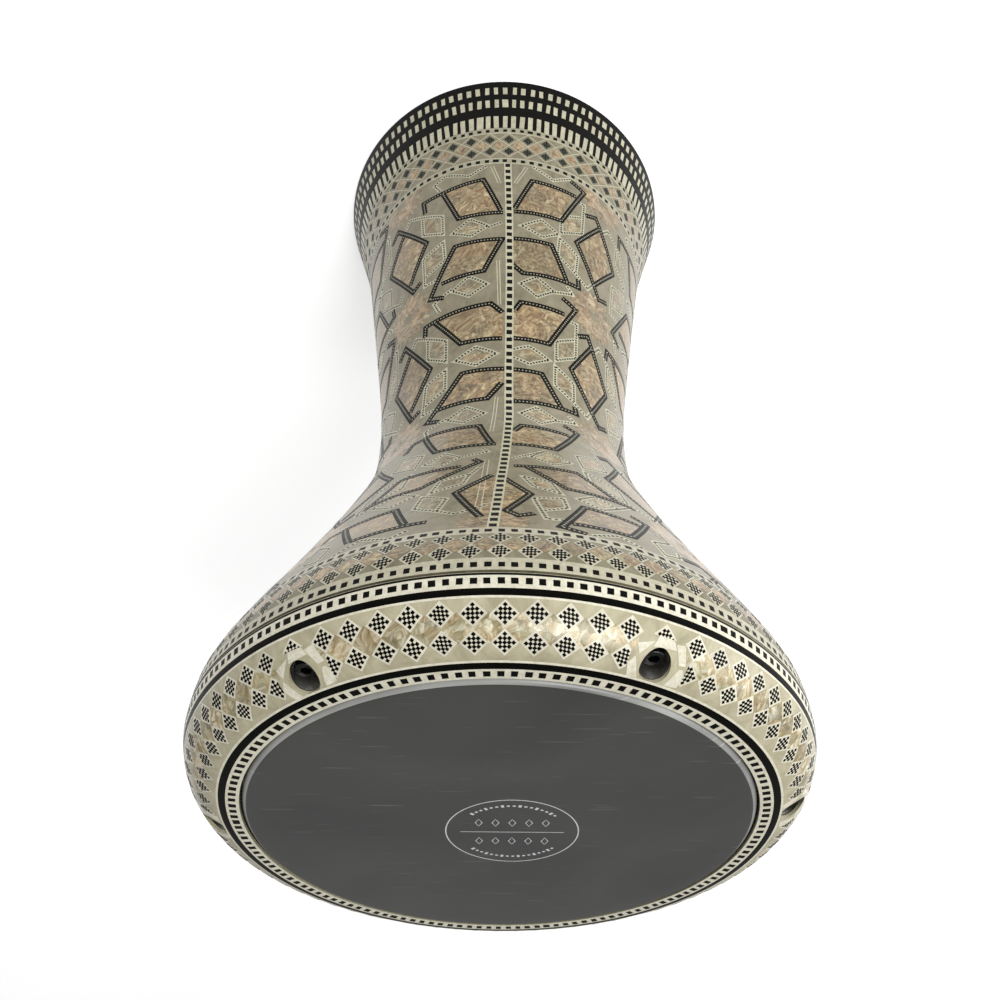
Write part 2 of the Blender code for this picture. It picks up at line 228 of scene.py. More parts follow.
def pearl_material(name, dark, middle, light, shard):
    """Mother of pearl: shards, each with its own grain direction, between brown and cream."""
    made, tree, shader, place = new_material(name)
    shards = node(tree, "TexVoronoi", Vector=place, Scale=shard, Randomness=1)
    split = node(tree, "SeparateColor", Color=shards.outputs["Color"])
    turn = node(tree, "Math", operation="MULTIPLY")
    tree.links.new(split.outputs["Red"], turn.inputs[0])
    turn.inputs[1].default_value = 6.28
    spin = node(tree, "VectorRotate", rotation_type="AXIS_ANGLE", Axis=(0.35, 0.85, 0.4))
    filled(spin, Vector=place, Angle=turn.outputs["Value"])
    grain = noise(tree, stretched(tree, spin.outputs["Vector"], (1, 0.26, 1)), 230, 3.5, 0.55, 1.8)
    streaks = ramp(tree, grain, (0.28, srgb(dark)), (0.50, srgb(middle)), (0.74, srgb(light)))
    # Each shard's colour times its painted flash: the darker shards painted shade, the white ones painted
    # glints
    body = mixed(tree, "MULTIPLY", 0.85, streaks, ramp(tree, split.outputs["Green"], *PEARL_PAINTED_FLASH))
    rough = ramp(tree, grain, (0.2, 0.18), (0.8, 0.42))
    filled(shader, Base_Color=toned(tree, body, 0.25), Roughness=rough, Metallic=0.10)
    filled(shader, Specular_IOR_Level=0.35, Coat_Weight=0.15, Coat_Roughness=0.06)
    bumped(tree, shader, grain, 0.15, 0.0003)
    return made


def metal_material(name, dark, light, roughness, lines=900, across=(1, 1, 18)):
    made, tree, shader, place = new_material(name)
    grain = noise(tree, stretched(tree, place, across), lines, 4, 0.7)
    rough = ramp(tree, grain, (0.2, roughness - 0.1), (0.8, roughness + 0.12))
    colour = ramp(tree, grain, (0.3, srgb(dark)), (0.7, srgb(light)))
    filled(shader, Base_Color=colour, Roughness=rough, Metallic=1)
    bumped(tree, shader, grain, 0.25, 0.0002)
    return made


def film_material(name, dark, light, roughness, scratches):
    """Head film: smudged sheen with a few fine scratches."""
    made, tree, shader, place = new_material(name)
    smudge = noise(tree, place, 11, 6, 0.5, 0.8)
    lines = []
    for angle, squash in ((0.5, 26), (1.9, 34)):
        thread = noise(tree, stretched(tree, place, (1, squash, 1), (0, 0, angle)), 36, 1, 0.3)
        lines.append(ramp(tree, thread, (0.740, 0), (0.765, scratches)))
    cloud = ramp(tree, smudge, (0.30, srgb(dark)), (0.72, srgb(light)))
    rough = ramp(tree, smudge, (0.25, roughness - 0.05), (0.75, roughness + 0.07))
    filled(shader, Base_Color=mixed(tree, "ADD", 1, cloud, mixed(tree, "ADD", 1, *lines)), Roughness=rough)
    bumped(tree, shader, noise(tree, place, 1500, 2), 0.05, 0.0002)
    return made


IVORY = inlay_material("ivory", (196, 191, 168), (230, 226, 208), 420)
IVORY_DULL = inlay_material("ivory_dull", (138, 134, 110), (172, 167, 142), 420)
# The ring's ivory made darker as painted shade, for the stem, the foot, the foot's edge and the seam
IVORY_STEM_PAINTED_SHADE = inlay_material("ivory_stem_painted_shade", (166, 162, 136), (196, 192, 166), 420)
# The ring's ivory made darker as painted shade, for the bowl's border
IVORY_BOWL_PAINTED_SHADE = inlay_material("ivory_bowl_painted_shade", (164, 159, 134), (194, 189, 166), 420)
BLACK = inlay_material("black", (3, 3, 2), (11, 11, 7), 300, 0.34, 0, 0.4, shine=0.05)
FIELD = inlay_material("cream_ground", (160, 153, 126), (196, 189, 161), 130, streak=0.5)
BOWL_FIELD = inlay_material("bowl_ground", (104, 100, 77), (134, 129, 104), 150, streak=0.5, shine=0.2)
GROUND = inlay_material("stem_ground", (112, 105, 83), (143, 135, 111), 170, streak=0.6, shine=0.2)
CHECKS = inlay_material("fine_checks", (62, 68, 52), (100, 104, 84), 900)
PEARL = pearl_material("pearl", (92, 68, 40), (142, 121, 88), (202, 188, 152), 105)
PEARL_PALE = pearl_material("pearl_pale", (140, 122, 88), (184, 172, 140), (248, 246, 230), 230)
PEARL_PINK = pearl_material("pearl_pink", (108, 86, 56), (158, 136, 106), (202, 188, 160), 90)
PEARL_MIXED = pearl_material("pearl_mixed", (100, 78, 48), (146, 132, 102), (196, 190, 162), 120)
FILM = film_material("head_film", (48, 49, 47), (66, 67, 64), 0.38, 0.05)
MARGIN = film_material("film_margin", (96, 96, 95), (176, 176, 172), 0.32, 0.16)
PRINT = inlay_material("white_print", (186, 186, 186), (216, 216, 216), 500, 0.5, 0)
CAST = metal_material("cast_aluminium", (138, 137, 132), (186, 184, 178), 0.50, 700, (1, 1, 1))
TURNED_METAL = metal_material("turned_aluminium", (150, 148, 140), (206, 204, 196), 0.34)
BLACK_STEEL = metal_material("black_steel", (30, 30, 31), (62, 62, 64), 0.36, 1600, (1, 1, 1))
ZINC_STEEL = metal_material("zinc_steel", (150, 150, 150), (196, 196, 196), 0.34, 1600, (1, 1, 1))


# ---------------------------------------------------------------- mesh helpers
def add_object(name, mesh, body, slot, material, *replaced):
    obj = bpy.data.objects.new(name, mesh)
    bpy.context.scene.collection.objects.link(obj)
    mesh.materials.clear()
    mesh.materials.append(material)
    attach(obj, body)
    if replaced:
        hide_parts(*replaced)
    return obj


def turned_mesh(name, profile, closed=True, segments=240, sharp=32, centre=(0, 0)):
    """A solid turned about an upright axis from (radius, height) points that run down its outer side."""
    mesh = bpy.data.meshes.new(name)
    shape = bmesh.new()
    rows = []
    x, y = centre
    turn = [math.tau * k / segments for k in range(segments)]
    for r, z in profile:
        if r < 1e-7:
            rows.append([shape.verts.new((x, y, z))] * segments)
        else:
            rows.append([shape.verts.new((x + r * math.cos(t), y + r * math.sin(t), z)) for t in turn])
    pairs = list(zip(rows, rows[1:])) + ([(rows[-1], rows[0])] if closed else [])
    for upper, lower in pairs:
        for k in range(segments):
            m = (k + 1) % segments
            corners = list(dict.fromkeys([upper[k], lower[k], lower[m], upper[m]]))
            if len(corners) > 2:
                shape.faces.new(corners)
    shape.to_mesh(mesh)
    shape.free()
    return shaded(mesh, sharp)


def shaded(mesh, sharp):
    """The mesh, smooth except where its faces meet at more than this angle in degrees."""
    mesh.shade_smooth()
    mesh.set_sharp_from_angle(angle=math.radians(sharp))
    return mesh


def cut(mesh, cutters, sharp=30):
    """The mesh after each cutter mesh is taken away from it."""
    holder = bpy.data.objects.new("cut_holder", mesh)
    bpy.context.scene.collection.objects.link(holder)
    others = []
    for i, cutter in enumerate(cutters):
        other = bpy.data.objects.new(f"cutter_{i}", cutter)
        bpy.context.scene.collection.objects.link(other)
        others.append(other)
        modifier = holder.modifiers.new(f"cut_{i}", "BOOLEAN")
        modifier.operation = "DIFFERENCE"
        modifier.object = other
        modifier.solver = "EXACT"
    graph = bpy.context.evaluated_depsgraph_get()
    result = bpy.data.meshes.new_from_object(holder.evaluated_get(graph))
    for other in (*others, holder):
        bpy.data.objects.remove(other, do_unlink=True)
    result.name = mesh.name
    return shaded(result, sharp)


def upright(radius, bottom, top, centre, segments=64):
    profile = [(0, top), (radius, top), (radius, bottom), (0, bottom)]
    return turned_mesh("rod", profile, False, segments, 30, centre)


def set_tones(mesh, tones):
    """Stores what toned() reads: one number for the whole mesh, or one for each point."""
    values = np.full(len(mesh.vertices), tones, np.float32)
    mesh.attributes.new("tone", "FLOAT", "POINT").data.foreach_set("value", values)


def bends(line, closed):
    """Each point of a line, with the directions in which the line comes to it and leaves it."""
    last = len(line) - 1
    for i, here in enumerate(line):
        before = line[i - 1] if i or closed else here - (line[1] - here)
        after = line[(i + 1) % (last + 1)] if i < last or closed else here + (here - line[i - 1])
        yield here, (here - before).normalized(), (after - here).normalized()


# In mm: how often ribbons and diamonds are cut so that they follow the skin, and how deep a bead is sunk
RIBBON_STEP, DIAMOND_STEP, BEAD_DEPTH = 2.6, 1.8, 0.06
# The least cosine that a bend's mitre is reckoned with, so that a sharp one doesn't reach too far
LEAST_MITRE = 0.35


class Inlay:
    """Small flat pieces laid on the skin, gathered into one mesh whose shading follows the skin."""

    def __init__(self):
        self.points = []
        self.faces = []

    def prism(self, corners, lift, depth=0.09, tone=None):
        """One piece from its corners as (azimuth, s), from the lift down by the depth."""
        area = sum(a[0] * b[1] - b[0] * a[1] for a, b in zip(corners, corners[1:] + corners[:1]))
        if area > 0:
            corners = corners[::-1]
        tone = rng.random() if tone is None else tone
        base, count = len(self.points), len(corners)
        self.points += [(a, s, lift, tone) for a, s in corners]
        self.points += [(a, s, lift - depth, tone) for a, s in corners]
        self.faces.append(tuple(range(base, base + count)))
        for k in range(count):
            m = (k + 1) % count
            self.faces.append((base + k, base + count + k, base + count + m, base + m))

    def patch(self, corners, reference, lift, depth=0.09, tone=None, step=3):
        """A larger piece, cut into cells so that it follows the skin. Corners are (azimuth, s)."""
        tone = rng.random() if tone is None else tone
        scale = math.radians(1) * reference
        shape = bmesh.new()
        face = shape.faces.new([shape.verts.new((a * scale, s, 0)) for a, s in corners])
        if face.normal.z == 0:
            face.normal_update()
        for axis in (0, 1):
            values = [v.co[axis] for v in shape.verts]
            at = (math.floor(min(values) / step) + 1) * step
            while at < max(values) - 1e-4:
                along = Vector((1, 0, 0)) if axis == 0 else Vector((0, 1, 0))
                bmesh.ops.bisect_plane(
                    shape, geom=shape.verts[:] + shape.edges[:] + shape.faces[:],
                    plane_co=along * at, plane_no=along, dist=1e-5,
                )
                at += step
        shape.verts.index_update()
        base, count = len(self.points), len(shape.verts)
        flat = [(v.co.x / scale, v.co.y) for v in shape.verts]
        self.points += [(a, s, lift, tone) for a, s in flat]
        self.points += [(a, s, lift - depth, tone) for a, s in flat]
        flip = face.normal.z > 0
        for f in shape.faces:
            ring = [base + v.index for v in f.verts]
            self.faces.append(tuple(ring[::-1] if flip else ring))
        for edge in shape.edges:
            if len(edge.link_loops) != 1:
                continue
            loop = edge.link_loops[0]
            a, b = base + loop.vert.index, base + loop.link_loop_next.vert.index
            side = (a, a + count, b + count, b)
            self.faces.append(side[::-1] if flip else side)
        shape.free()

    def ribbon(self, path, reference, width, lift, depth=0.09, closed=False, tone=None):
        """A strip of the width in mm along (azimuth, s) points, mitred at its bends."""
        tone = rng.random() if tone is None else tone
        scale = math.radians(1) * reference
        line = [Vector((a * scale, s)) for a, s in path]
        ends = []
        for here, d1, d2 in bends(line, closed):
            n1, n2 = Vector((-d1.y, d1.x)), Vector((-d2.y, d2.x))
            mitre = (n1 + n2).normalized()
            reach = width / 2 / max(mitre.dot(n1), LEAST_MITRE)
            ends.append((here - mitre * reach, here + mitre * reach))
        spans = list(zip(ends, ends[1:])) + ([(ends[-1], ends[0])] if closed else [])
        rows = []
        for (l0, r0), (l1, r1) in spans:
            cells = max(1, math.ceil(((l1 + r1) / 2 - (l0 + r0) / 2).length / RIBBON_STEP))
            rows += [(l0.lerp(l1, k / cells), r0.lerp(r1, k / cells)) for k in range(cells)]
        if not closed:
            rows.append(ends[-1])
        base = len(self.points)
        for left, right in rows:
            for at, height in ((left, lift - depth), (left, lift), (right, lift), (right, lift - depth)):
                self.points.append((at.x / scale, at.y, height, tone))
        total = len(rows)
        for k in range(total if closed else total - 1):
            p, q = base + 4 * k, base + 4 * ((k + 1) % total)
            self.faces += [(p + j, p + j + 1, q + j + 1, q + j) for j in range(3)]
        if not closed:
            self.faces.append((base, base + 1, base + 2, base + 3)[::-1])
            tail = base + 4 * (total - 1)
            self.faces.append((tail, tail + 1, tail + 2, tail + 3))

    def beads(self, path, reference, size, pitch, lift, closed=False):
        """Small square pieces in a row along the path."""
        scale = math.radians(1) * reference
        line = [Vector((a * scale, s)) for a, s in path]
        if closed:
            line.append(line[0])
        for start, end in zip(line, line[1:]):
            run = end - start
            along = run.normalized()
            side = Vector((-along.y, along.x)) * size / 2
            count = max(1, round(run.length / pitch))
            for k in range(count):
                here = start + run * ((k + 0.5) / count)
                half = along * size / 2
                corners = [here - half - side, here + half - side, here + half + side, here - half + side]
                self.prism([(c.x / scale, c.y) for c in corners], lift, BEAD_DEPTH)

    def band(self, s0, s1, lift, depth=0.09, columns=288, tone=0.6):
        """A strip all the way round."""
        count = max(1, math.ceil((s1 - s0) / 3))
        stations = [(s0, lift - depth)] + [(s0 + (s1 - s0) * k / count, lift) for k in range(count + 1)]
        stations.append((s1, lift - depth))
        base = len(self.points)
        for s, height in stations:
            self.points += [(360 * k / columns, s, height, tone) for k in range(columns)]
        for j in range(len(stations) - 1):
            for k in range(columns):
                m = (k + 1) % columns
                a, b = base + j * columns, base + (j + 1) * columns
                self.faces.append((a + k, b + k, b + m, a + m))

    def mesh(self, name):
        """One mesh of all the pieces, with the skin's normals."""
        data = np.array(self.points)
        points, normals = on_skin(data[:, 0], data[:, 1], data[:, 2])
        mesh = bpy.data.meshes.new(name)
        mesh.from_pydata(points.tolist(), [], self.faces)
        set_tones(mesh, data[:, 3])
        mesh.shade_smooth()
        mesh.update()
        mesh.normals_split_custom_set_from_vertices([tuple(n) for n in normals])
        return mesh


def laid(name, inlay, body, slot, material, *replaced):
    return add_object(name, inlay.mesh(name), body, slot, material, *replaced)


def squares(inlay, s, count, size, height, lift, wobble=0.12):
    """A row of small squares all the way round, a little irregular as set by hand."""
    r = radius_at(s)
    for k in range(count):
        a = 360 * k / count
        wide = size * (1 + wobble * rng.uniform(-0.6, 0.6))
        if rng.random() < 0.03:
            wide *= 1.35
        tall = height * (1 + wobble * rng.uniform(-0.4, 0.4))
        a += math.degrees(rng.uniform(-0.5, 0.5) * wobble * size / r)
        middle = s + rng.uniform(-0.5, 0.5) * wobble
        da = math.degrees(wide / 2 / r)
        lean = math.degrees(rng.uniform(-0.05, 0.05) * tall / r)
        corners = [(a - da, middle - tall / 2), (a + da, middle - tall / 2)]
        corners += [(a + da + lean, middle + tall / 2), (a - da + lean, middle + tall / 2)]
        inlay.prism(corners, lift)


def clipped(corners, keep):
    """The part of a convex polygon where keep(x, y) is above 0."""
    made = []
    for here, after in zip(corners, corners[1:] + corners[:1]):
        k0, k1 = keep(*here), keep(*after)
        if k0 > 0:
            made.append(here)
        if k0 * k1 < 0:
            t = k0 / (k0 - k1)
            made.append((here[0] + (after[0] - here[0]) * t, here[1] + (after[1] - here[1]) * t))
    return made


def check_diamond(ivory, black, azimuth, s, wide, tall, border, lift, cells=(5, 5), keep=None):
    """A diamond with an ivory border and a checkerboard that runs along its edges."""
    r = radius_at(s)
    scale = math.radians(1) * r

    def lay(corners, height, whole):
        if keep:
            corners = clipped(corners, keep)
        if len(corners) < 3:
            return
        placed = [(azimuth + x / scale, s + y) for x, y in corners]
        if whole:
            ivory.patch(placed, r, height, step=DIAMOND_STEP)
        else:
            black.prism(placed, height)

    w, h = wide / 2, tall / 2
    lay([(0, -h), (w, 0), (0, h), (-w, 0)], lift, True)
    shrink = 1 - border * math.hypot(w, h) / (w * h)
    w, h = w * shrink, h * shrink
    across, down = cells
    spread = 0.03
    for i in range(across):
        for j in range(down):
            if (i + j) % 2:
                continue
            u0, u1 = 2 * i / across - 1 - spread, 2 * (i + 1) / across - 1 + spread
            v0, v1 = 2 * j / down - 1 - spread, 2 * (j + 1) / down - 1 + spread
            corners = ((u0, v0), (u1, v0), (u1, v1), (u0, v1))
            lay([((u - v) / 2 * w, (u + v) / 2 * h) for u, v in corners], lift + 0.05, False)


def diamond(inlay, azimuth, s, wide, tall, lift, tone=None, keep=None):
    """A plain diamond, or the part of it that keep leaves."""
    r = radius_at(s)
    corners = [(0, -tall / 2), (wide / 2, 0), (0, tall / 2), (-wide / 2, 0)]
    if keep:
        corners = clipped(corners, keep)
    if len(corners) > 2:
        placed = [(azimuth + math.degrees(x / r), s + y) for x, y in corners]
        inlay.patch(placed, r, lift, tone=tone, step=DIAMOND_STEP)


# ---------------------------------------------------------------- tuning ring
RING_DEPTH = 1.45
GROUND_TONE = 0.6
# Where the ring's field begins and ends, the middles of its two rows of diamonds and of the screw recesses
FIELD_START, FIELD_END, UPPER_ROW, LOWER_ROW, RECESS_S = 29.2, 54, 37.6, 48.3, 36.6


def ring_ground(name, s0, s1, holes, material, slot, replaced):
    """One band of the ring's inlay as a closed sleeve, with the screw recesses cut through."""
    count = max(2, math.ceil((s1 - s0) / 2))
    stations = [s0 + (s1 - s0) * k / count for k in range(count + 1)]
    profile = []
    for lift, order in ((0, stations), (-RING_DEPTH, stations[::-1])):
        for s in order:
            point = on_skin([90], [s], [lift])[0][0]
            profile.append((point[0], point[2]))
    mesh = turned_mesh(name, profile, True, 360, 30)
    if holes:
        mesh = cut(mesh, [upright(RECESS_RADIUS, 0.440, 0.480, hole_centre(a)) for a in SCREW_AZIMUTHS])
    set_tones(mesh, GROUND_TONE)
    add_object(name, mesh, RING, slot, material, replaced)


def hole_centre(azimuth):
    a = math.radians(azimuth)
    return (SCREW_CIRCLE * math.sin(a), -SCREW_CIRCLE * math.cos(a))


def make_ring():
    profile = [(LIP_BORE, SHOULDER[1] + SHOULDER_SIZE[1] - CASTING_INSET), *shoulder_curve(CASTING_INSET, 24)]
    profile += [(0.1162, RING_BOTTOM), (0.1162, 0.4610), (LIP_BORE, 0.4610)]
    mesh = turned_mesh("ring_casting", profile, True, 240)
    rods = []
    for a in SCREW_AZIMUTHS:
        rods.append(upright(RECESS_RADIUS, RECESS_FLOOR, 0.480, hole_centre(a)))
        rods.append(upright(0.0030, 0.430, 0.470, hole_centre(a), 32))
    mesh = cut(mesh, rods)
    add_object("ring_casting", mesh, RING, "cast_aluminium", TURNED_METAL, "tuning_ring")
    ring_ground("ring_collar_ground", S_LIP, FIELD_START, False, IVORY_DULL, "ivory_inlay", "ring_collar_inlay")
    ring_ground("ring_field_ground", FIELD_START, FIELD_END, True, FIELD, "pearl_inlay", "ring_field_inlay")
    ring_ground("ring_edge_ground", FIELD_END, 64.1, False, IVORY_DULL, "ivory_inlay", "ring_edge_inlay")

    ivory, black, pearl = Inlay(), Inlay(), Inlay()
    ivory.band(20.6, 26.3, 0.04, columns=360)
    squares(black, 23.5, 144, 2.6, 3.1, 0.10)
    black.band(26.3, 29.5, 0.06, columns=360)
    ivory.band(29.5, 30.5, 0.05, columns=360, tone=0.9)
    ivory.band(53.7, 54.6, 0.05, columns=360, tone=0.9)
    black.band(54.6, 57.4, 0.06, columns=360)
    ivory.band(57.4, 62.8, 0.05, columns=360)
    squares(black, 60.4, 177, 2.55, 2.55, 0.10)
    black.band(62.9, 63.8, 0.05, columns=360)

    circle = SCREW_CIRCLE / MM
    for hole in SCREW_AZIMUTHS:
        reach = 60 * math.radians(1) * SCREW_CIRCLE / MM
        near = 12.9
        offsets = [0, near] + [near + (reach - 2 * near) * k / 10 for k in range(1, 11)]
        for k, x in enumerate(offsets):
            x += rng.uniform(-0.25, 0.25) * (k > 0)
            azimuth = hole + math.degrees(x / circle)
            ahead = x - reach if x > reach / 2 else x
            tall = 10.4 + rng.uniform(-0.3, 0.3)
            cells = rng.choice([(5, 5), (6, 5), (5, 5), (5, 6), (5, 5)])
            lower = (lambda u, v: v - 0.2) if k == 0 else None
            place = LOWER_ROW + rng.uniform(-0.3, 0.3)
            check_diamond(ivory, black, azimuth, place, 10.2, tall, 0.85, 0.08, cells, lower)
            if k == 0:
                continue
            upper = None
            if abs(ahead) < 18:
                side = 1 if ahead > 0 else -1
                limit = 11 if side > 0 else 12.1
                upper = lambda u, v, side=side, ahead=ahead, limit=limit: side * (ahead + u) - limit
            place = UPPER_ROW + rng.uniform(-0.3, 0.3)
            check_diamond(ivory, black, azimuth, place, 10.2, tall, 0.85, 0.08, cells, upper)
        middles = [(a + b) / 2 for a, b in zip(offsets, offsets[1:] + [reach])]
        for x in middles:
            azimuth = hole + math.degrees(x / circle)
            ahead = x - reach if x > reach / 2 else x
            keep = None
            if abs(ahead) < 13:
                side = 1 if ahead > 0 else -1
                keep = lambda u, v, side=side, ahead=ahead: side * (ahead + u) - 9.6
            diamond(pearl, azimuth, 43, 12, 11.4, 0.05, keep=keep)
        for corners in HOLE_TESSERAE:
            cx, cy = (sum(values) / len(corners) for values in zip(*corners))
            grown = [(cx + 1.14 * (x - cx), cy + 1.14 * (y - cy)) for x, y in corners]
            wobble = [(x + rng.uniform(-0.2, 0.2), y + rng.uniform(-0.2, 0.2)) for x, y in grown]
            placed = [(hole + math.degrees(x / circle), RECESS_S + y) for x, y in wobble]
            ivory.patch(placed, circle, 0.06, tone=rng.uniform(0.7, 1), step=1.5)
    laid("ring_ivory", ivory, RING, "ivory_inlay", IVORY)
    laid("ring_black", black, RING, "black_inlay", BLACK)
    laid("ring_pearl", pearl, RING, "pearl_inlay", PEARL_PALE)

    hoop = [(0.1148, 0.4607), (0.1156, 0.4599), (0.1156, 0.4495), (0.1099, 0.4495), (0.1099, 0.4607)]
    add_object("hoop", turned_mesh("hoop", hoop), RING, "hoop_aluminium", TURNED_METAL, "head_hoop")


# The pale pieces set round each screw recess, as (sideways, down) in mm from its middle
HOLE_TESSERAE = (
    [(-11.7, -4.6), (-7.2, -5.2), (-7.7, -3), (-9.2, 1.4), (-10.5, 1.7), (-12, -0.3)],
    [(5.6, -5.6), (9, -5.6), (10.7, -1.1), (8.7, 1.8)],
    [(7.8, 3.8), (9.2, 7), (3.6, 9.1)],
    [(-4.9, 8.3), (2.8, 7.8), (1.8, 11.5), (-3.2, 11.8)],
    [(-10.6, 4.4), (-8.3, 3.9), (-5.2, 10), (-8.6, 10.7)],
)


# ---------------------------------------------------------------- screws
def make_screws():
    head_top, head_radius, seat = 0.0050, 0.00425, 0.4570
    profile = [(0, head_top), (head_radius - 0.0003, head_top), (head_radius, head_top - 0.0003)]
    profile += [(head_radius, 0.0004), (head_radius - 0.0002, 0), (0.0025, 0), (0.0025, -0.0040)]
    turns = 25
    for k in range(turns):
        profile += [(0.00215, -0.0042 - 0.0008 * k), (0.0025, -0.0046 - 0.0008 * k)]
    profile += [(0.0019, -0.0250), (0, -0.0250)]
    body = turned_mesh("screw", profile, False, 48, 25)
    for vertex in body.vertices:
        spot = vertex.co
        radius = math.hypot(spot.x, spot.y)
        if radius > head_radius - 0.0001 and 0.0003 < spot.z < head_top - 0.0002:
            angle = math.atan2(spot.y, spot.x)
            shrink = 1 - 0.012 * (round(angle / math.tau * 48) % 2)
            spot.x *= shrink
            spot.y *= shrink
    hexagon = upright(0.0020 / math.cos(math.radians(30)), head_top - 0.0026, 0.02, (0, 0), 6)
    body = cut(body, [hexagon], 25)
    for i, azimuth in enumerate(SCREW_AZIMUTHS):
        mesh = body.copy()
        mesh.name = f"cap_screw_{i + 1}"
        x, y = hole_centre(azimuth)
        turn = Matrix.Rotation(math.radians(17 * i), 4, "Z")
        mesh.transform(Matrix.Translation((x, y, seat)) @ turn)
        add_object(
            f"cap_screw_{i + 1}", mesh, f"screw_{i + 1}", "black_steel", BLACK_STEEL, f"tension_screw_{i + 1}"
        )
        washer = [(0.0049, 0.4567), (0.0050, 0.4566), (0.0050, 0.4557), (0.00275, 0.4557), (0.00275, 0.4567)]
        name = f"washer_{i + 1}"
        mesh = turned_mesh(name, washer, True, 48, 30, (x, y))
        add_object(name, mesh, RING, "zinc_steel", ZINC_STEEL, f"screw_{name}")


# ---------------------------------------------------------------- casting and head
# The flat of the head ends at this radius, and the middle of its rounded edge has this height
HEAD_FLAT, EDGE_HEIGHT, EDGE_SIZE = 0.1065, 0.4670, 0.0030


def rounded_edge(size, steps):
    """The head's edge as (radius, height) points, from its flat down to its side."""
    return [(HEAD_FLAT + size * math.cos(a), EDGE_HEIGHT + size * math.sin(a)) for a in quarter_turn(steps)]


def make_casting():
    wall = [(smooth_value(SHELL_OUTLINE, z) - CASTING_INSET, z) for z in np.linspace(FLANGE_TOP, 0, 90)]
    inside = [(smooth_value(SHELL_OUTLINE, z) - CASTING_INSET - 0.0045, z) for z in np.linspace(0, 0.4290, 80)]
    profile = [(0.1045, 0.4691), *rounded_edge(0.0021, 6), (0.1086, FLANGE_TOP), *wall, *inside]
    profile += [(0.1230, 0.4340), (0.1026, 0.4340), (0.1026, 0.4670)]
    mesh = turned_mesh("drum_casting", profile, True, 240)
    add_object("drum_casting", mesh, SHELL, "cast_aluminium", CAST, "shell")
    for i, azimuth in enumerate(SCREW_AZIMUTHS):
        boss = [(0.0065, 0.4345), (0.0065, 0.4274), (0.0061, 0.4270)]
        boss += [(0.0029, 0.4270), (0.0027, 0.4272), (0.0027, 0.4345)]
        name = f"screw_boss_{i + 1}"
        mesh = turned_mesh(name, boss, True, 48, 30, hole_centre(azimuth))
        add_object(name, mesh, SHELL, "cast_aluminium", CAST)


# How far what is printed stands off the film, in metres
PRINT_LIFT = 0.00005


def make_head():
    disc = [(0, HEIGHT)] + [(HEAD_FLAT * k / 14, HEIGHT) for k in range(1, 14)]
    profile = disc + rounded_edge(EDGE_SIZE, 8) + [(0.1095, 0.4520), (0.1090, 0.4520)]
    profile += rounded_edge(0.0025, 8)[::-1] + [(0, HEIGHT - 0.0005)]
    mesh = turned_mesh("head_skin", profile, False, 288, 40)
    add_object("head_skin", mesh, SHELL, "head_film", FILM, "head_film")
    rim = rounded_edge(EDGE_SIZE + PRINT_LIFT, 8)[2:] + [(0.1095 + PRINT_LIFT, 0.4620), (0.1094, 0.4620)]
    add_object("head_margin", turned_mesh("head_margin", rim, False, 288, 40), SHELL, "head_film", MARGIN)
    make_print()


def flat_strip(points, width, closed):
    """The pairs of points at each side of a flat line of the width."""
    pairs = []
    for here, d1, d2 in bends(points, closed):
        along = (d1 + d2).normalized()
        side = Vector((-along.y, along.x)) * width / 2
        pairs.append((here - side, here + side))
    return pairs


def make_print():
    """A plain printed mark on the head: a ring, a bar, two arcs of dashes and two rows of lozenges."""
    middle = Vector((-0.0056, 0.0055))
    lines = []

    def arc(radius, start, end, steps):
        turn = [math.radians(start + (end - start) * k / steps) for k in range(steps + 1)]
        return [Vector((radius * math.cos(t), radius * math.sin(t))) for t in turn]

    lines.append((arc(0.0288, 0, 357.5, 143), 0.00055, True))
    lines.append(([Vector((-0.0225, 0)), Vector((0, 0)), Vector((0.0225, 0))], 0.00045, False))
    for side in (1, -1):
        for k in range(17):
            start = 42 + 6 * k
            dash = arc(0.0236, side * start, side * (start + 3.1), 3)
            lines.append((dash, 0.0011 if k % 3 else 0.0020, False))
    for side in (1, -1):
        for k in range(5):
            at = Vector(((k - 2) * 0.0072, side * 0.0085))
            lozenge = [at + Vector(p) * 0.001 for p in ((0, -3.2), (1.5, 0), (0, 3.2), (-1.5, 0))]
            lines.append((lozenge, 0.00045, True))
    shape = bmesh.new()
    for points, width, closed in lines:
        pairs = flat_strip(points, width, closed)
        corners = [[shape.verts.new((*(middle + p), HEIGHT + PRINT_LIFT)) for p in pair] for pair in pairs]
        spans = list(zip(corners, corners[1:])) + ([(corners[-1], corners[0])] if closed else [])
        for (l0, r0), (l1, r1) in spans:
            shape.faces.new((l0, r0, r1, l1)[::-1])
    bmesh.ops.recalc_face_normals(shape, faces=shape.faces)
    for face in shape.faces:
        if face.normal.z < 0:
            face.normal_flip()
    mesh = bpy.data.meshes.new("head_mark")
    shape.to_mesh(mesh)
    shape.free()
    set_tones(mesh, 0.8)
    add_object("head_mark", mesh, SHELL, "head_film", PRINT)


# ---------------------------------------------------------------- shell inlay: borders
# The numbers of a band or a row of squares are arc lengths down the skin, counts and sizes in mm.
def shell_ground(name, s0, s1, material, slot, *replaced):
    """The sheet that a border or the stem's design is laid on."""
    ground = Inlay()
    ground.band(s0, s1, 0, 1.4)
    laid(name, ground, SHELL, slot, material, *replaced)


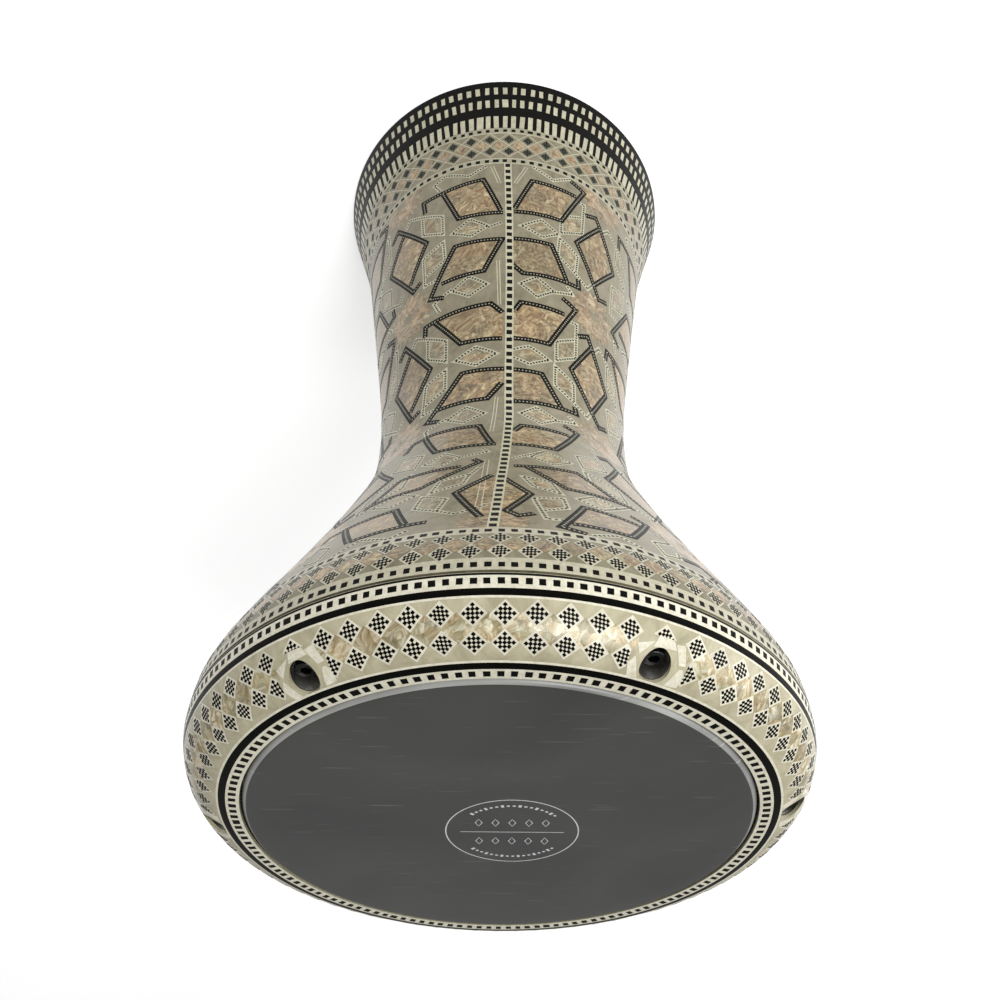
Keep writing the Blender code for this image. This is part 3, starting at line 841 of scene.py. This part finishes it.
def make_bowl_border():
    shell_ground("bowl_border_ground", S_JOINT + 0.5, 93.3, BOWL_FIELD, "ivory_inlay", "bowl_border_inlay")
    ivory, black, pearl = Inlay(), Inlay(), Inlay()
    ivory.band(64.8, 70.9, 0.04, tone=0.5)
    squares(black, 67.5, 177, 2.45, 2.4, 0.09)
    count = 79
    for k in range(count):
        azimuth = 0.2 + 360 * k / count
        cells = rng.choice([(5, 5), (6, 5), (5, 5)])
        check_diamond(ivory, black, azimuth, 74.6 + rng.uniform(-0.25, 0.25), 9.4, 9.8, 0.72, 0.07, cells)
        check_diamond(ivory, black, azimuth, 84.6 + rng.uniform(-0.25, 0.25), 9.2, 9.6, 0.72, 0.07)
        diamond(pearl, azimuth + 180 / count, 79.6, 10.2, 10, 0.04)
        diamond(pearl, azimuth, 79.6, 4, 3, 0.035)
    ivory.band(88, 88.8, 0.05, tone=0.8)
    ivory.band(88.8, 93.2, 0.035, tone=0.1)
    ivory.band(93, 93.8, 0.06, tone=0.9)
    squares(black, 91, 167, 2.6, 2.5, 0.09)
    laid("bowl_border_ivory", ivory, SHELL, "ivory_inlay", IVORY_BOWL_PAINTED_SHADE)
    laid("bowl_border_black", black, SHELL, "black_inlay", BLACK)
    laid("bowl_border_pearl", pearl, SHELL, "pearl_inlay", PEARL)


def make_foot_border():
    shell_ground("foot_border_ground", 449, 480.9, GROUND, "pearl_inlay", "foot_border_inlay")
    ivory, black, pearl, checks, dull = Inlay(), Inlay(), Inlay(), Inlay(), Inlay()
    dull.band(449.2, 453.2, 0.03, tone=0.5)
    ivory.band(448.6, 449.3, 0.05, tone=0.3)
    ivory.band(453.1, 453.8, 0.05, tone=0.3)
    squares(black, 451.2, 103, 2.7, 2.5, 0.08)
    count = 50
    step = 360 / count
    lines = Inlay()
    for k in range(count):
        azimuth = -1.5 + step * k
        for s in (460.2, 471):
            check_diamond(checks, black, azimuth, s + rng.uniform(-0.3, 0.3), 6.9, 6.9, 0.25, 0.06, (6, 6))
        diamond(pearl, azimuth + step / 2, 465.6, 9.6, 9, 0.04, tone=rng.random())
        r = radius_at(465.6)
        for side in (1, -1):
            path = [(azimuth, 455), (azimuth + side * step / 2, 460.2), (azimuth, 465.6)]
            path += [(azimuth + side * step / 2, 471), (azimuth, 476.2)]
            lines.ribbon(path, r, 0.55, 0.05, tone=0.35)
    dull.band(476.6, 481, 0.03, tone=0.5)
    ivory.band(476.2, 476.9, 0.05, tone=0.3)
    squares(black, 478.7, 113, 2.5, 2.2, 0.08)
    laid("foot_border_ivory", ivory, SHELL, "ivory_inlay", IVORY_STEM_PAINTED_SHADE)
    laid("foot_border_lines", lines, SHELL, "ivory_inlay", IVORY_STEM_PAINTED_SHADE)
    laid("foot_border_checks", checks, SHELL, "pearl_inlay", CHECKS)
    laid("foot_border_dull", dull, SHELL, "ivory_inlay", IVORY_DULL)
    laid("foot_border_black", black, SHELL, "black_inlay", BLACK)
    laid("foot_border_pearl", pearl, SHELL, "pearl_inlay", PEARL_PINK)


def make_foot_edge():
    shell_ground("foot_edge_black", 481, 523, BLACK, "black_inlay", "foot_edge_inlay")
    ivory = Inlay()
    squares(ivory, 486.4, 115, 3, 10.6, 0.06, wobble=0.10)
    squares(ivory, 503, 117, 2.7, 7, 0.06, wobble=0.16)
    squares(ivory, 514.5, 113, 2.8, 6, 0.06, wobble=0.16)
    laid("foot_edge_blocks", ivory, SHELL, "ivory_inlay", IVORY_STEM_PAINTED_SHADE)


# ---------------------------------------------------------------- shell inlay: star cells on the stem
# Each path is a row of azimuth, s, azimuth, s and so on. The stem's cell has its middle at s = 286.
# An ivory path says whether it is closed. The straps of the panels and columns come first.
BLACK_UPPER = (
    (-3, 246.5, -32.5, 249.5, -32, 255),
    (-25, 250, -17, 273.3, -3, 273.3),
    (0.5, 262, 6.5, 249, 29, 248.5),
    (-0.5, 273.5, 18, 273.5, 32.5, 240.5, 26.5, 237),
)
BLACK_UPPER_LAST = (
    (-3, 358.5, -8, 351.3, -34, 354.5, -33.3, 361.5),
    (-28, 354, -20, 380.8, -3, 380),
    (27.5, 351.5, 8.5, 353, 0.8, 379.3, 20.8, 379, 33.5, 343, 26.5, 339.3),
)
BLACK_LOWER_FIRST = (
    (-3, 197, -17, 197.2, -30, 229, -24.5, 232.5),
    (-25.5, 222, -7, 222, -4, 214.5),
    (2, 196.5, 21.5, 196.8, 30, 222.5),
    (3.5, 198, 8.5, 221.8, 28, 223.3, 35.5, 221, 36.5, 212.5),
)
BLACK_LOWER = (
    (-3, 298.5, -20.5, 299, -33, 335, -26, 339.5),
    (-27.5, 327.2, -7.5, 327.5, -5, 321),
    (0.5, 298, 19, 298, 32, 323.5),
    (0.5, 318.5, 5.5, 326, 36.5, 322.8, 37, 315),
)
BLACK_LOWER_LAST = (
    (-4, 404, -24, 405.5, -33.5, 442, -27, 446.3),
    (-30, 434, -11, 434.5, -4.2, 407),
    (0.5, 402.8, 19, 402.8, 25.5, 431.5),
    (1.5, 405, 8.5, 434.5, 24.5, 431.8, 34.5, 431.5, 34, 421),
)
BLACK_COLUMN = (
    (
        (-51, 254, -45.5, 250.5, -31.5, 286, -43, 313),
        (-41.5, 258, -54, 286, -40.5, 320, -35, 315.5),
    ),
    (
        (38, 256, 42.5, 252, 57, 286, 46, 309),
        (44, 260, 34, 287, 49.5, 318, 54, 312),
    ),
)
IVORY_COLUMN = (
    ((-41, 258, -38.5, 252, -23, 267, -23.5, 283, -32.5, 274.5, -32, 259.5), False),
    ((-24, 303, -24, 288, -34, 296.5, -34, 324, -29.5, 323), False),
    ((-24, 303, -33, 310.5), False),
    ((35.5, 257, 25.5, 264, 26, 280.5, 36, 274, 36, 250, 30, 250), False),
    ((45, 312, 42, 318, 26, 304, 26, 287.5, 35.5, 295.5, 35.5, 311), False),
)
IVORY_GAP = (
    ((-22, 235.5, -14.5, 227.5, -7, 236, -14, 243.5), True),
    ((-22, 235, -31, 239.5, -28, 244.5), False),
    ((22.5, 235.2, 15, 227.8, 7, 235.5, 15, 243.7), True),
    ((29, 222.5, 31.5, 231, 22.5, 237.2), False),
)
IVORY_MIDDLE = (
    ((-4, 283.5, -11.5, 279.3, -20.5, 286, -11.5, 293.5, -4, 289.5), False),
    ((3, 286, 11.8, 278, 21.5, 285.2, 12, 292.8), True),
)
IVORY_MIDDLE_LAST = (
    ((-22.8, 392, -16, 385.3, -7, 392, -15.5, 400.3), True),
    ((21.8, 391, 13.6, 384.6, 6.6, 391.5, 14, 399.5), True),
    ((6.8, 390, 1, 393.8), False),
)
IVORY_END = (
    ((-27, 447.8, -19.5, 440, -11, 448.2), False),
    ((7, 447, 14, 439.8, 24, 447, 29, 442, 26.5, 434.5), False),
)
# The same design where it widens on the bowl
BOWL_BLACK = (
    (-14.5, 95, -10.3, 98.5, -17, 126.5, -29.5, 124.5),
    (-12.5, 103.5, -24.5, 105, -32.5, 131, -29, 134.5),
    (-33, 148, -15, 146, -6.5, 167.5),
    (-28, 149.5, -20.5, 171.5, -3, 168),
    (-6, 110, -3, 106.5, -0.8, 112, -6, 133.5, -0.5, 151.5),
    (3.8, 105, 10, 136, 2.5, 155.5),
    (28.5, 105, 13.5, 105),
    (18, 107, 22.5, 128.5, 39.5, 128, 40, 122),
    (29, 104.5, 35, 128),
    (34.5, 149, 19.5, 150, 6, 174, 8, 178),
    (34, 146, 28.5, 171, 11, 170),
)
BOWL_IVORY = (
    ((-6.5, 128.5, -8, 105.5, -11.5, 106), False),
    ((-7.8, 114.5, -13, 121, -13, 132.5, -6.3, 128.5), False),
    ((-13, 138, -7, 143, -5, 154.5, -11.5, 151), True),
    ((-21.5, 129, -16.5, 135.5, -21.5, 144, -26.5, 137.5), True),
    ((-26.5, 137.5, -31, 146), False),
    ((8.5, 110, 17.8, 123.5, 17.5, 137, 11.5, 130, 12.5, 116), False),
    ((8.5, 110, 3, 119), False),
    ((16, 140, 9, 146.5, 8, 158, 15, 154), True),
    ((8, 157, 5.5, 168), False),
    ((25, 134.5, 19.5, 141, 25.5, 149, 31, 142.5), True),
    ((16.5, 99, 19.5, 94, 26, 101.5, 30.5, 94), False),
    ((-25, 94.5, -21, 100.5, -15.5, 94.5), False),
    ((-35, 107, -34, 101, -29.8, 96.5, -29.5, 108.5, -35, 116, -34.5, 125.5), False),
    ((34, 108, 34.2, 96, 38.5, 100, 39, 116, 34, 108), False),
    ((-20.3, 183.8, -14.4, 175.5, -8, 182, -13, 192), True),
    ((-13, 191.5, -2.8, 178), False),
    ((12, 182.8, 17.2, 175.2, 23.3, 182.6, 17.5, 191.2), True),
    ((12, 182.5, 4.2, 186.8, 6, 191.5), False),
)
BOWL_PANELS = (
    (-24, 105.5, -12.8, 104.8, -17.5, 125.5, -29, 124),
    (-27, 149, -15.5, 147.5, -7.5, 167, -20, 170.5),
    (18, 106, 28.5, 106, 34.5, 127, 22.8, 127.5),
    (20, 151, 33, 149.5, 28, 170, 10.5, 169.5),
    (1.7, 104, 4.2, 110, 9.3, 136, 1.7, 154, -0.6, 149.5, -5.4, 133.5, -0.8, 113.5),
)
BOWL_SMALL = (
    (-12.1, 120.8, -8.3, 116.5, -7.3, 128, -12.1, 131),
    (-12, 139.8, -7.8, 143.8, -6.3, 152.6, -10.8, 149.8),
    (-21.5, 130.8, -17.7, 135.6, -21.6, 142.2, -25.3, 137.6),
    (13.2, 119, 16.8, 124.2, 16.5, 134, 12.6, 129.2),
    (15.2, 141.8, 10, 147, 9.2, 156.2, 14.1, 152.8),
    (25, 136.4, 20.8, 141, 25.4, 147, 29.7, 142.4),
    (-18.8, 183.6, -14.3, 177.5, -9.5, 182.1, -13.2, 189.8),
    (13.6, 182.9, 17.3, 177.4, 21.8, 182.5, 17.5, 189),
)
PEARL_UPPER = (
    (-24, 250, -2.5, 248, -2.5, 272.5, -16.5, 272.5),
    (6.8, 249.8, 28.4, 249.3, 17.7, 272.6, 0, 272.6, 0, 263),
)
PEARL_UPPER_LAST = (
    (-26.8, 355, -8, 352.6, -3, 359.5, -3, 379, -19, 379.8),
    (9, 354, 27.5, 352.3, 20.2, 378.3, 1.8, 378.3),
)
PEARL_LOWER_FIRST = (
    (-16, 198.2, -3, 198, -3, 214, -7.5, 221, -24.5, 221),
    (4.6, 198, 21, 198, 28, 222, 9.2, 221),
)
PEARL_LOWER = (
    (-3, 299.3, -20, 299.8, -29.3, 326.5, -7.8, 326.8, -3, 317),
    (0, 299, 18.7, 299, 31, 322.6, 5.8, 325.2, 0, 316.5),
)
PEARL_LOWER_LAST = (
    (-5.5, 406, -23.2, 407, -28.5, 433, -11.5, 433.5),
    (2.8, 404, 18.5, 404, 25, 431, 9.2, 433.2),
)
PEARL_COLUMN = (
    (-43, 258.5, -32.2, 286, -42.5, 312.5, -53.2, 286),
    (45, 259.5, 56.3, 286, 46, 311, 34.8, 287),
)
SMALL_COLUMN = (
    (-31.3, 262.5, -24.5, 268, -24.7, 279.8, -31.6, 273.3),
    (-25.2, 302, -25.2, 291, -32.7, 297.4, -32.7, 308),
    (34.7, 259.5, 26.9, 264.8, 27.2, 278, 34.7, 273.1),
    (27.2, 303.3, 27.2, 290, 34.3, 296.2, 34.3, 309),
)
SMALL_GAP = (
    (-20.5, 235.6, -14.4, 229.2, -8.5, 236, -14.2, 241.9),
    (8.6, 235.5, 15, 229.3, 20.8, 235.4, 15, 242),
)
SMALL_MIDDLE = (
    (-18.8, 286, -11.5, 281, -5, 286, -11.6, 291.8),
    (4.7, 285.9, 11.8, 279.6, 19.9, 285.3, 12, 291.2),
)
SMALL_MIDDLE_LAST = (
    (-21.3, 392, -15.9, 387, -8.6, 392.1, -15.4, 398.6),
    (20.2, 391, 13.6, 386.3, 8.4, 391.4, 14, 397.7),
)
CELL_PERIOD = 106.5
COLUMN_LEFT, COLUMN_RIGHT, SEAM_AZIMUTH = -43.7, 46.3, -1.6
STEM_TOP, STEM_END = 93.8, 448.4


def closed_gap(azimuth):
    """Draws both sides of a cell together where no seam parts them."""
    if azimuth < SEAM_AZIMUTH:
        return COLUMN_LEFT + (azimuth - COLUMN_LEFT) * (SEAM_AZIMUTH - COLUMN_LEFT) / (-3 - COLUMN_LEFT)
    return COLUMN_RIGHT - (COLUMN_RIGHT - azimuth) * (COLUMN_RIGHT - SEAM_AZIMUTH) / (COLUMN_RIGHT - 0.2)


def limited(path, closed=False):
    """The runs of a path that lie on the stem."""
    low, high = STEM_TOP, STEM_END
    points = path + [path[0]] if closed else path
    runs, run = [], []
    for here, after in zip(points, points[1:]):
        t0, t1 = 0, 1
        rise = after[1] - here[1]
        if abs(rise) < 1e-9:
            if not low <= here[1] <= high:
                t0, t1 = 1, 0
        else:
            ta, tb = sorted(((low - here[1]) / rise, (high - here[1]) / rise))
            t0, t1 = max(t0, ta), min(t1, tb)
        if t0 >= t1:
            if run:
                runs.append(run)
            run = []
            continue
        start = (here[0] + (after[0] - here[0]) * t0, here[1] + rise * t0)
        end = (here[0] + (after[0] - here[0]) * t1, here[1] + rise * t1)
        if not run or t0 > 0:
            if run:
                runs.append(run)
            run = [start]
        run.append(end)
        if t1 < 1:
            runs.append(run)
            run = []
    if run:
        runs.append(run)
    return runs


class StarWork:
    """The straps and panels of the star design, gathered by material."""

    def __init__(self):
        self.black, self.white_beads = Inlay(), Inlay()
        self.ivory, self.black_beads = Inlay(), Inlay()
        self.pearl, self.small, self.kites = Inlay(), Inlay(), Inlay()

    def black_strap(self, path, r):
        for run in limited(path):
            self.black.ribbon(run, r, 3.4, 0.085)
            self.white_beads.beads(run, r, 0.80, 1.90, 0.105)

    def ivory_strap(self, path, r, closed):
        if closed and min(s for _, s in path) > STEM_TOP and max(s for _, s in path) < STEM_END:
            self.ivory.ribbon(path, r, 2.6, 0.055, closed=True)
            self.black_beads.beads(path, r, 1.1, 1.95, 0.085, closed=True)
            return
        for run in limited(path, closed):
            self.ivory.ribbon(run, r, 2.6, 0.055)
            self.black_beads.beads(run, r, 1.1, 1.95, 0.085)

    def panel(self, inlay, corners, r, lift):
        corners = clipped(corners, lambda a, s: s - STEM_TOP)
        if len(corners) > 2:
            corners = clipped(corners, lambda a, s: STEM_END - s)
        if len(corners) > 2:
            inlay.patch(corners, r, lift, tone=rng.random())

    def rosette(self, azimuth, s, size):
        """A ring of kites with a smaller one between each two."""
        r, petals = radius_at(s), 12
        half = math.tan(math.pi / petals) * 0.72 * size
        for k in range(petals):
            turn = math.tau * (k + 0.5) / petals
            for inlay, lift, t, near, broad, far, wide in (
                (self.kites, 0.06, turn, 0.12, 0.60, 1, 1),
                (self.pearl, 0.055, math.pi / petals + turn, 0.66, 0.82, 1.05, 0.5),
            ):
                out = Vector((math.sin(t), math.cos(t)))
                side = Vector((math.cos(t), -math.sin(t))) * half * wide
                middle = out * broad * size
                corners = (out * near * size, middle + side, out * far * size, middle - side)
                placed = [(azimuth + math.degrees(c.x / r), s + c.y) for c in corners]
                self.panel(inlay, placed, r, lift)

    def lay(self):
        laid("star_black_straps", self.black, SHELL, "black_inlay", BLACK)
        laid("star_ivory_beads", self.white_beads, SHELL, "ivory_inlay", IVORY_DULL)
        laid("star_ivory_straps", self.ivory, SHELL, "ivory_inlay", IVORY_STEM_PAINTED_SHADE)
        laid("star_black_beads", self.black_beads, SHELL, "black_inlay", BLACK)
        laid("star_pearl_panels", self.pearl, SHELL, "pearl_inlay", PEARL)
        laid("star_small_panels", self.small, SHELL, "pearl_inlay", PEARL_MIXED)
        laid("star_kites", self.kites, SHELL, "pearl_inlay", PEARL_PINK)


def make_star_cells():
    work = StarWork()

    def lay(black=(), ivory=(), pearl=(), small=(), period=0, quarter=0, seam=True):
        """Lays these paths, moved down by whole cells and round by quarters."""
        drop = CELL_PERIOD * period
        every = [s for path in (*black, *(p for p, _ in ivory), *pearl, *small) for s in path[1::2]]
        r = radius_at(min(max(sum(every) / len(every) + drop, STEM_TOP), STEM_END))

        def moved(path):
            close = quarter and seam
            points = zip(path[::2], path[1::2])
            return [((closed_gap(a) if close else a) + 90 * quarter, s + drop) for a, s in points]

        for path in black:
            work.black_strap(moved(path), r)
        for path, closed in ivory:
            work.ivory_strap(moved(path), r, closed)
        for inlay, panels in ((work.pearl, pearl), (work.small, small)):
            for corners in panels:
                work.panel(inlay, moved(corners), r, 0.03)

    for quarter in range(4):
        lay(BLACK_LOWER_FIRST, (), PEARL_LOWER_FIRST, (), 0, quarter)
        for period in (0, 1):
            lay((), IVORY_GAP, (), SMALL_GAP, period, quarter)
        lay(BLACK_UPPER, IVORY_MIDDLE, PEARL_UPPER, SMALL_MIDDLE, 0, quarter)
        lay(BLACK_LOWER, (), PEARL_LOWER, (), 0, quarter)
        lay(BLACK_UPPER_LAST, IVORY_MIDDLE_LAST, PEARL_UPPER_LAST, SMALL_MIDDLE_LAST, 0, quarter)
        lay(BLACK_LOWER_LAST, IVORY_END, PEARL_LOWER_LAST, (), 0, quarter)
        lay(BOWL_BLACK, BOWL_IVORY, BOWL_PANELS, BOWL_SMALL, 0, quarter, False)
        side = quarter % 2
        for period in (-2, -1, 0, 1):
            back = quarter - side
            lay(BLACK_COLUMN[side], (), (PEARL_COLUMN[side],), (), period, back, False)
            if period > -2:
                lay((), IVORY_COLUMN, (), SMALL_COLUMN, period, quarter, False)
        for path in (
            [(3.3, 213.5), (2, 250)], [(1.2, 325), (1.9, 361)], [(-4.8, 430), (-9.2, 446.5)],
            [(1.4, 430), (4.4, 446.5)], [(4, 112), (3.6, 176)],
        ):
            for shift in (0, 1.15):
                line = [(a + shift + 90 * quarter, s) for a, s in path]
                work.ivory.ribbon(line, radius_at(path[0][1]), 0.5, 0.05, tone=0.9)
        column = COLUMN_LEFT + 90 * quarter
        for s, size in ((126.5, 24), (233, 18), (339.5, 18.5), (446, 19)):
            work.rosette(column, s, size)
        work.rosette(1.5 + 90 * quarter, 99, 15)
    work.lay()


# The seam's azimuth at each s down the stem
SEAM_LINE = (
    (93, 1.55), (150, 0.3), (190, -1.05), (232, -2.45), (290, -2.6), (345, -2.5), (400, -2),
    (449, -1.15),
)


def seam_azimuth(s):
    return float(np.interp(s, *zip(*SEAM_LINE)))


def make_seam():
    ladder, rungs = Inlay(), Inlay()
    stations = np.linspace(93.6, 448.8, 90)
    for lower, upper in zip(stations, stations[1:]):
        path = [(seam_azimuth(lower), lower), (seam_azimuth(upper), upper)]
        ladder.ribbon(path, radius_at((lower + upper) / 2), 4.6, 0.115, 0.12, tone=0.7)
    s = 96
    while s < 447:
        r = radius_at(s)
        half = math.degrees(1.5 / r)
        a = seam_azimuth(s)
        tall = 3.2 + rng.uniform(-0.2, 0.2)
        low, high = s - tall / 2, s + tall / 2
        rungs.prism([(a - half, low), (a + half, low), (a + half, high), (a - half, high)], 0.14)
        s += 5.75
    laid("seam_ladder", ladder, SHELL, "ivory_inlay", IVORY_STEM_PAINTED_SHADE, "stem_seam_strip")
    laid("seam_rungs", rungs, SHELL, "black_inlay", BLACK)


# ---------------------------------------------------------------- the scene around it
# The picture's ground is a plain white: the floor and the world give off this much of it
FLOOR_GLOW, WORLD_GLOW = 0.50, 0.42


def make_stage():
    mesh = bpy.data.meshes.new("floor")
    shape = bmesh.new()
    bmesh.ops.create_grid(shape, x_segments=8, y_segments=8, size=3)
    shape.to_mesh(mesh)
    shape.free()
    floor = bpy.data.objects.new("floor", mesh)
    floor.location.z = -0.0005
    bpy.context.scene.collection.objects.link(floor)
    made, tree, shader, place = new_material("floor")
    colour = ramp(tree, noise(tree, place, 3, 2), (0.3, 0.90), (0.7, 0.93))
    filled(shader, Base_Color=colour, Roughness=0.9, Specular_IOR_Level=0.1)
    filled(shader, Emission_Color=(1, 1, 1, 1), Emission_Strength=FLOOR_GLOW)
    floor.data.materials.append(made)


def add_area(name, place, target, size, power):
    light = bpy.data.lights.new(name, "AREA")
    light.shape = "RECTANGLE"
    light.size, light.size_y = size
    light.energy = power
    obj = bpy.data.objects.new(name, light)
    obj.location = place
    obj.rotation_euler = (Vector(target) - Vector(place)).to_track_quat("-Z", "Y").to_euler()
    bpy.context.scene.collection.objects.link(obj)


def make_lights():
    world = bpy.data.worlds.new("studio")
    world.use_nodes = True
    filled(world.node_tree.nodes["Background"], Color=(1, 1, 1, 1), Strength=WORLD_GLOW)
    bpy.context.scene.world = world
    add_area("front_light", (-0.8, -1.3, 1.8), (0, 0, 0.35), (1, 1), 30)
    add_area("side_light", (-1.9, -0.3, 0.8), (0, 0, 0.25), (0.8, 1.2), 12)


def make_camera():
    """Looks down on the head from the front, turned over as the picture is."""
    pitch, roll = math.radians(42.0705), 0.00838422
    forward = Vector((0, math.cos(pitch), -math.sin(pitch)))
    up = Vector((0, math.sin(pitch), math.cos(pitch)))
    right = Vector((1, 0, 0))
    across = -(right * math.cos(roll) + up * math.sin(roll))
    above = right * math.sin(roll) - up * math.cos(roll)
    back = -forward
    data = bpy.data.cameras.new("camera")
    data.sensor_width = 36
    data.lens = 37.8
    data.shift_x = -0.00164
    data.shift_y = 0.03548
    camera = bpy.data.objects.new("camera", data)
    spot = Vector((0, -0.41973, 0.68023))
    camera.matrix_world = Matrix((
        (across.x, above.x, back.x, spot.x),
        (across.y, above.y, back.y, spot.y),
        (across.z, above.z, back.z, spot.z),
        (0, 0, 0, 1),
    ))
    bpy.context.scene.collection.objects.link(camera)
    bpy.context.scene.camera = camera


make_camera()
make_ring()
make_screws()
make_casting()
make_head()
make_bowl_border()
shell_ground("stem_ground", 93.3, 449, GROUND, "pearl_inlay", "stem_inlay_sheet")
make_star_cells()
make_seam()
make_foot_border()
make_foot_edge()
make_stage()
make_lights()
bpy.context.scene.view_settings.view_transform = "Standard"
